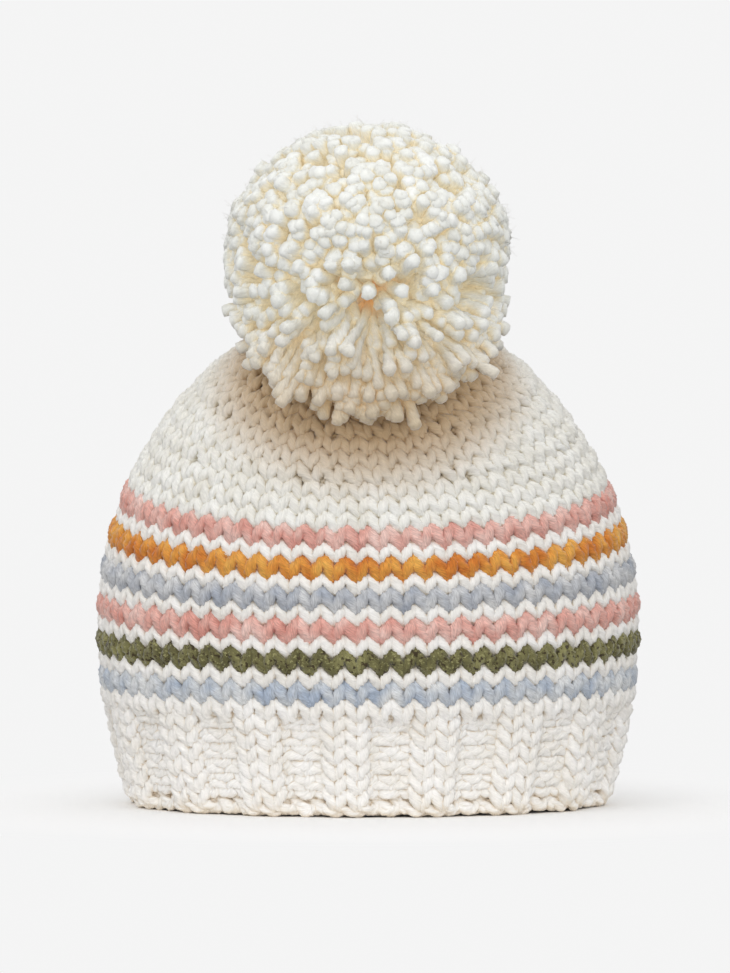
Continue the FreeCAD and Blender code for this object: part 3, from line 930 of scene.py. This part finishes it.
def wool(name, base, dark, light, fleck=None, fleck_share=0.56, fleck_scale=900.0,
         second_fleck=None, root=None, root_shade_length=26.0, deep=None,
         crevice_shade_range=(0.55, 0.08), glow=0.0, shaded=None, under=None,
         streaks=(0.86, 1.06)):
    """A wool yarn: its colour between a darker and a lighter dye by the shade noise,
    streaked by its fibres, with optional tweed flecks, and matt with a soft sheen. A
    root colour (root), painted shade of the pom's inside, fades out over the strand's
    first millimetres. Tints paint shade into the colour: in crevices (deep), round the
    foot of the pom as its shadow on the crown (shaded) and on a ball's lower side
    (under). A painted glow, emission in the crevices, stands for light that passes
    through the loose wool."""
    material = bpy.data.materials.new(name)
    material.use_nodes = True
    tree = material.node_tree
    fibre = node(tree, "ShaderNodeGroup", -900, 0,
                 {"Fleck Share": fleck_share, "Fleck Scale": fleck_scale},
                 node_tree=fibre_group).outputs
    dye = node(tree, "ShaderNodeValToRGB", -700, 200, {0: fibre["Shade"]})
    stops = dye.color_ramp.elements
    stops.new(DYE_STOPS[1])
    for stop, place, shade in zip(stops, DYE_STOPS, (dark, base, light)):
        stop.position, stop.color = place, (*shade, 1)
    streak = node(tree, "ShaderNodeMapRange", -700, -100,
                  {"Value": fibre["Streak"], "From Min": 0.3, "From Max": 0.7,
                   "To Min": streaks[0], "To Max": streaks[1]})
    colour = mixed(tree, -400, 200, 1.0, dye.outputs[0], streak.outputs[0], "MULTIPLY")
    if fleck:
        colour = mixed(tree, -200, 200, fibre["Fleck"], colour, (*fleck, 1))
    if second_fleck:
        place = node(tree, "ShaderNodeTexCoord", -900, -400)
        grain = node(tree, "ShaderNodeTexNoise", -700, -400,
                     {"Vector": place.outputs["Object"], "Scale": fleck_scale * 0.7})
        mask = node(tree, "ShaderNodeMapRange", -500, -400,
                    {"Value": grain.outputs[0], "From Min": 0.57, "From Max": 0.63})
        colour = mixed(tree, 0, 200, mask.outputs[0], colour, (*second_fleck, 1))
    # Painted shade: a warm, darker colour at the strands' roots inside the pom, fading
    # out towards their ends.
    if root:
        fade = soft_mask(tree, -200, 450, fibre["Along"], 0.0, root_shade_length)
        colour = mixed(tree, 0, 450, fade, (*root, 1), colour)
    # Painted shadow of the pom on the crown: the colour is multiplied by a warm, dark
    # tint near the pom's foot.
    if shaded:
        colour, _ = tinted(tree, 350, 600, colour, pom_shadow_mask, shaded)
    # Painted shade: towards the lower side of the ball the colour is multiplied by a
    # darker, warm tint.
    if under:
        colour, _ = tinted(tree, 350, 900, colour, underside, under)
    shader = tree.nodes["Principled BSDF"]
    # Painted shade: deep in the crevices the colour is multiplied by a darker, warmer
    # tint.
    if deep:
        colour, mask = tinted(tree, 600, 600, colour, crevice_shade, deep, Open=crevice_shade_range[0],
                              Deep=crevice_shade_range[1])
        # Painted glow: the crevices give off their own tinted colour as emission,
        # standing for light that passes through the loose wool.
        through = node(tree, "ShaderNodeMath", 600, 850, {0: mask, 1: glow},
                       operation="MULTIPLY")
        feed(tree, shader.inputs["Emission Strength"], through.outputs[0])
        feed(tree, shader.inputs["Emission Color"], colour)
    fuzz = node(tree, "ShaderNodeBump", -300, -200,
                {"Height": fibre["Height"], "Strength": FUZZ_STRENGTH,
                 "Distance": FUZZ_HEIGHT})
    for label, value in (("Base Color", colour), ("Normal", fuzz.outputs[0]),
                         ("Roughness", WOOL_ROUGHNESS),
                         ("Specular IOR Level", WOOL_SPECULAR),
                         ("Sheen Weight", SHEEN), ("Sheen Roughness", SHEEN_ROUGHNESS)):
        feed(tree, shader.inputs[label], value)
    return material


def srgb(red, green, blue):
    """A colour written as 0 to 255 values, in the linear form that shaders take."""
    levels = np.array([red, green, blue]) / 255
    return tuple(np.where(levels <= 0.04045, levels / 12.92,
                          ((levels + 0.055) / 1.055) ** 2.4).tolist())


HEATHER = (0.66, 1.20)       # strong streaks of lighter and darker dyed fibres
# The deep tints below are painted shade in the crevices between strands and loops.
wools = {
    "cream_wool": wool("cream_wool", srgb(246, 243, 238), srgb(242, 238, 231),
                       srgb(249, 247, 244), deep=(0.94, 0.86, 0.74)),
    # A darker, warmer copy of the cream wool for the crown: painted shade, with the pom's
    # painted shadow near its foot.
    "shaded_crown_wool": wool("shaded_crown_wool", srgb(240, 238, 231), srgb(234, 231, 222),
                       srgb(244, 243, 238), deep=(0.92, 0.87, 0.75),
                       shaded=(0.68, 0.50, 0.32)),
    # The pom's wool carries painted shade: warm roots, darker crevices and a darker lower
    # side, and a painted glow of emission in the crevices.
    "pom_wool": wool("pom_wool", srgb(235, 236, 231), srgb(229, 229, 222),
                     srgb(240, 241, 238), root=srgb(236, 202, 148), root_shade_length=24.0,
                     deep=(0.98, 0.88, 0.69), crevice_shade_range=(0.72, 0.12), glow=0.19,
                     under=(0.74, 0.60, 0.44)),
    "pom_fibre": wool("pom_fibre", srgb(251, 249, 244), srgb(249, 246, 239),
                      srgb(253, 252, 249)),
    "pink_wool": wool("pink_wool", srgb(230, 178, 166), srgb(219, 154, 141),
                      srgb(238, 203, 193), streaks=HEATHER),
    "mustard_wool": wool("mustard_wool", srgb(223, 152, 68), srgb(208, 123, 50),
                         srgb(233, 175, 86), streaks=HEATHER),
    "grey_blue_wool": wool("grey_blue_wool", srgb(194, 196, 200), srgb(170, 176, 187),
                           srgb(218, 218, 218), streaks=HEATHER),
    "light_blue_wool": wool("light_blue_wool", srgb(200, 205, 211), srgb(172, 184, 201),
                            srgb(224, 225, 225), streaks=HEATHER),
    "olive_wool": wool("olive_wool", srgb(118, 114, 74), srgb(96, 92, 58),
                       srgb(142, 138, 92), fleck=srgb(152, 149, 102), fleck_share=0.58,
                       second_fleck=srgb(66, 56, 36), streaks=HEATHER),
}

# ---- Putting the hat together --------------------------------------------------------

RIB_PLUMP = 1.03
PLAIN_PLUMP = 1.05
STRIPE_PLUMP = 1.07          # the coloured yarns fill their courses
CREAM_PLUMP = 0.94           # and the cream courses between them stand back
CROWN_COUNTS = (64, 64, 64, 56, 56, 56, 48, 48, 40, 40, 32, 32, 24, 16)
CROWN_STITCH = 7.6           # room that a full yarn takes
CROWN_THINNEST = 0.72
CROWN_END = 6.0              # from the last course's head to the crown's very tip
POM_LAYERS = {               # strands, seed, shortest and longest in the reach, looseness
    "outer": (1060, 7, 0.94, 1.05, 1.0), "upper": (1060, 8, 0.88, 1.01, 0.9),
    "middle": (1000, 9, 0.80, 0.92, 0.7), "inner": (860, 10, 0.66, 0.82, 0.4)}


def dress(name, parts, slot, body, *nodes, yarn=None):
    """A yarn piece that rides on a body and stands for the nodes. It is made of its
    slot's wool, unless another yarn is named."""
    piece = yarn_piece(name, parts, wools[yarn or slot])
    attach(piece, body)
    if nodes:
        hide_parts(*nodes)


dress("cast_on_cord", [cast_on()], "cream_wool", "hat", "cast_on_edge")
for i in range(RIB_COURSES):
    middle = EDGE_HEIGHT + (i + 0.5) * RIB_COURSE_HEIGHT
    loops = course(middle, RIB_COURSE_HEIGHT, rib=True, seed=10 + i,
                   plump=RIB_PLUMP)
    dress("rib_course_%d" % (i + 1), [loops], "cream_wool", "hat", "rib_band")
loops = course(RIB_END + PLAIN_COURSE_HEIGHT / 2, PLAIN_COURSE_HEIGHT, seed=20,
               plump=PLAIN_PLUMP)
dress("plain_loops", [loops], "cream_wool", "hat", "plain_course")
for i, (name, slot) in enumerate(STRIPES):
    middle = STRIPES_START + (i + 0.5) * STRIPE_COURSE_HEIGHT
    plump = STRIPE_PLUMP if name.endswith("stripe") else CREAM_PLUMP
    loops = course(middle, STRIPE_COURSE_HEIGHT, seed=30 + i, plump=plump)
    dress(name + "_loops", [loops], slot, "hat", name)

crown_pitch = (fabric.height[-1] - CROWN_END - CROWN_START) / len(CROWN_COUNTS)
below = STITCHES_ROUND
for i, count in enumerate(CROWN_COUNTS):
    middle = CROWN_START + (i + 0.5) * crown_pitch
    room = np.interp(middle, fabric.height, fabric.girth) / count
    loops = course(middle, crown_pitch, count, below, seed=50 + i,
                   plump=np.clip(room / CROWN_STITCH, CROWN_THINNEST, 1.0))
    # The crown's courses take the shaded copy of the cream wool.
    dress("crown_course_%d" % (i + 1), [loops], "cream_wool", "hat", "crown",
          yarn="shaded_crown_wool")
    below = count

dress("gather_yarn", [gathered_ring()], "cream_wool", "hat", "crown_gather")
dress("anchor_pair", twisted_pair(-FABRIC_THICKNESS, ANCHOR_TOP, ANCHOR_YARN / 4),
      "cream_wool", "hat", "anchor_yarn")
dress("wound_anchor_knot", [wound_knot(KNOT_CENTRE, KNOT_DIAMETER / 2, TAIL_YARN / 2)],
      "cream_wool", "hat", "anchor_knot")
dress("knot_tails", knot_tails(), "cream_wool", "hat", "anchor_tails")
dress("wound_neck_knot", [wound_knot(NECK_RISE, NECK_KNOT / 2, NECK_YARN / 2)],
      "cream_wool", "neck", "neck_knot")
for i, (name, slot) in enumerate(STRIPES):
    if name.endswith("stripe"):
        middle = STRIPES_START + (i + 0.5) * STRIPE_COURSE_HEIGHT
        dress(name + "_ends", [woven_end(middle, -1), woven_end(middle, 1)], slot, "hat",
              "woven_ends")

dress("tied_middle", pom_tie(), "pom_wool", "pom", "pom_tie")
for layer, values in POM_LAYERS.items():
    dress("pom_strands_" + layer, [pom_strands(*values)], "pom_wool", "pom",
          "pom_strands")
dress("pom_fibres", [loose_fibres(*POM_LAYERS["outer"])], "pom_wool", "pom",
      "pom_strands", yarn="pom_fibre")

# ---- Floor, light and camera ---------------------------------------------------------

BACKGROUND = srgb(244.5, 244.5, 244.5)
FLOOR_RADIUS = 4.0
FLOOR_GREY = 0.86
FLOOR_FADE = (0.105, 0.21)   # distances where the floor starts and ends its fade
FLOOR_GLOW = 0.4             # how much of the floor's own colour lights the hat
SKY_STRENGTH = 1.08
CAMERA_DISTANCE = 3.2
CAMERA_ELEVATION = math.radians(2.1)
SENSOR = 36.0
VIEW_HEIGHT = 0.3795
VIEW_CENTRE = Vector((-0.0012, -0.02, 0.12565))


def floor():
    """A pale disc under the hat. Near the hat it takes light and shadow, and further out
    it fades into the background's own colour."""
    angle = TAU * np.arange(96) / 96
    rim = np.stack([FLOOR_RADIUS * np.cos(angle), FLOOR_RADIUS * np.sin(angle),
                    0 * angle], -1)
    mesh = bpy.data.meshes.new("floor")
    mesh.from_pydata(rim.tolist(), [], [list(range(len(rim)))])
    disc = bpy.data.objects.new("floor", mesh)
    bpy.context.scene.collection.objects.link(disc)
    material = bpy.data.materials.new("floor")
    material.use_nodes = True
    tree = material.node_tree
    shader = tree.nodes["Principled BSDF"]
    for label, value in (("Base Color", (FLOOR_GREY, FLOOR_GREY, FLOOR_GREY, 1)),
                         ("Roughness", 0.9), ("Specular IOR Level", 0.0)):
        feed(tree, shader.inputs[label], value)
    place = node(tree, "ShaderNodeTexCoord", -900, 0)
    away = node(tree, "ShaderNodeVectorMath", -700, 0, {0: place.outputs["Object"]},
                operation="LENGTH")
    fade = soft_mask(tree, -500, 0, away.outputs["Value"], *FLOOR_FADE)
    rays = node(tree, "ShaderNodeLightPath", -700, -400)
    dim = node(tree, "ShaderNodeMapRange", -450, -400,
               {"Value": rays.outputs["Is Camera Ray"], "To Min": FLOOR_GLOW})
    glow = node(tree, "ShaderNodeEmission", -200, -200,
                {"Color": (*BACKGROUND, 1), "Strength": dim.outputs[0]})
    mix = node(tree, "ShaderNodeMixShader", 200, 0,
               {0: fade, 1: shader.outputs[0], 2: glow.outputs[0]})
    feed(tree, tree.nodes["Material Output"].inputs["Surface"], mix.outputs[0])
    mesh.materials.append(material)


def world():
    """Even studio light all round, seen by the camera as the pale background."""
    sky = bpy.data.worlds.new("studio")
    bpy.context.scene.world = sky
    sky.use_nodes = True
    tree = sky.node_tree
    tree.nodes.clear()
    light = node(tree, "ShaderNodeBackground", 0, 100,
                 {"Color": (1.0, 1.0, 1.0, 1), "Strength": SKY_STRENGTH})
    seen = node(tree, "ShaderNodeBackground", 0, -100, {"Color": (*BACKGROUND, 1)})
    rays = node(tree, "ShaderNodeLightPath", -600, 200).outputs
    glossy = node(tree, "ShaderNodeMath", -400, 200,
                  {0: rays["Is Camera Ray"], 1: rays["Is Glossy Ray"]},
                  operation="MAXIMUM")
    through = node(tree, "ShaderNodeMath", -200, 200,
                   {0: glossy.outputs[0], 1: rays["Is Transmission Ray"]},
                   operation="MAXIMUM")
    mix = node(tree, "ShaderNodeMixShader", 200, 0,
               {0: through.outputs[0], 1: light.outputs[0], 2: seen.outputs[0]})
    node(tree, "ShaderNodeOutputWorld", 400, 0, {"Surface": mix.outputs[0]})


def softbox(name, place, size, power):
    """A square area lamp that looks at the middle of the hat."""
    lamp = bpy.data.lights.new(name, "AREA")
    lamp.size = size
    lamp.energy = power
    holder = bpy.data.objects.new(name, lamp)
    bpy.context.scene.collection.objects.link(holder)
    holder.location = place
    way = VIEW_CENTRE - Vector(place)
    holder.rotation_euler = way.to_track_quat("-Z", "Y").to_euler()


def camera():
    """A long lens in front of the hat, a little above its middle."""
    lens = bpy.data.cameras.new("camera")
    lens.sensor_width = SENSOR
    lens.lens = SENSOR * CAMERA_DISTANCE / VIEW_HEIGHT
    holder = bpy.data.objects.new("camera", lens)
    bpy.context.scene.collection.objects.link(holder)
    way = Vector((0, -math.cos(CAMERA_ELEVATION), math.sin(CAMERA_ELEVATION)))
    holder.location = VIEW_CENTRE + way * CAMERA_DISTANCE
    holder.rotation_euler = (-way).to_track_quat("-Z", "Y").to_euler()
    bpy.context.scene.camera = holder


floor()
world()
softbox("key", (-0.6, -1.1, 1.7), 0.9, 3.0)
softbox("low", (0.0, -0.75, 0.10), 0.4, 1.4)
camera()
bpy.context.scene.view_settings.view_transform = "Standard"
bpy.context.scene.cycles.diffuse_bounces = 12    # pale wool passes light on many times
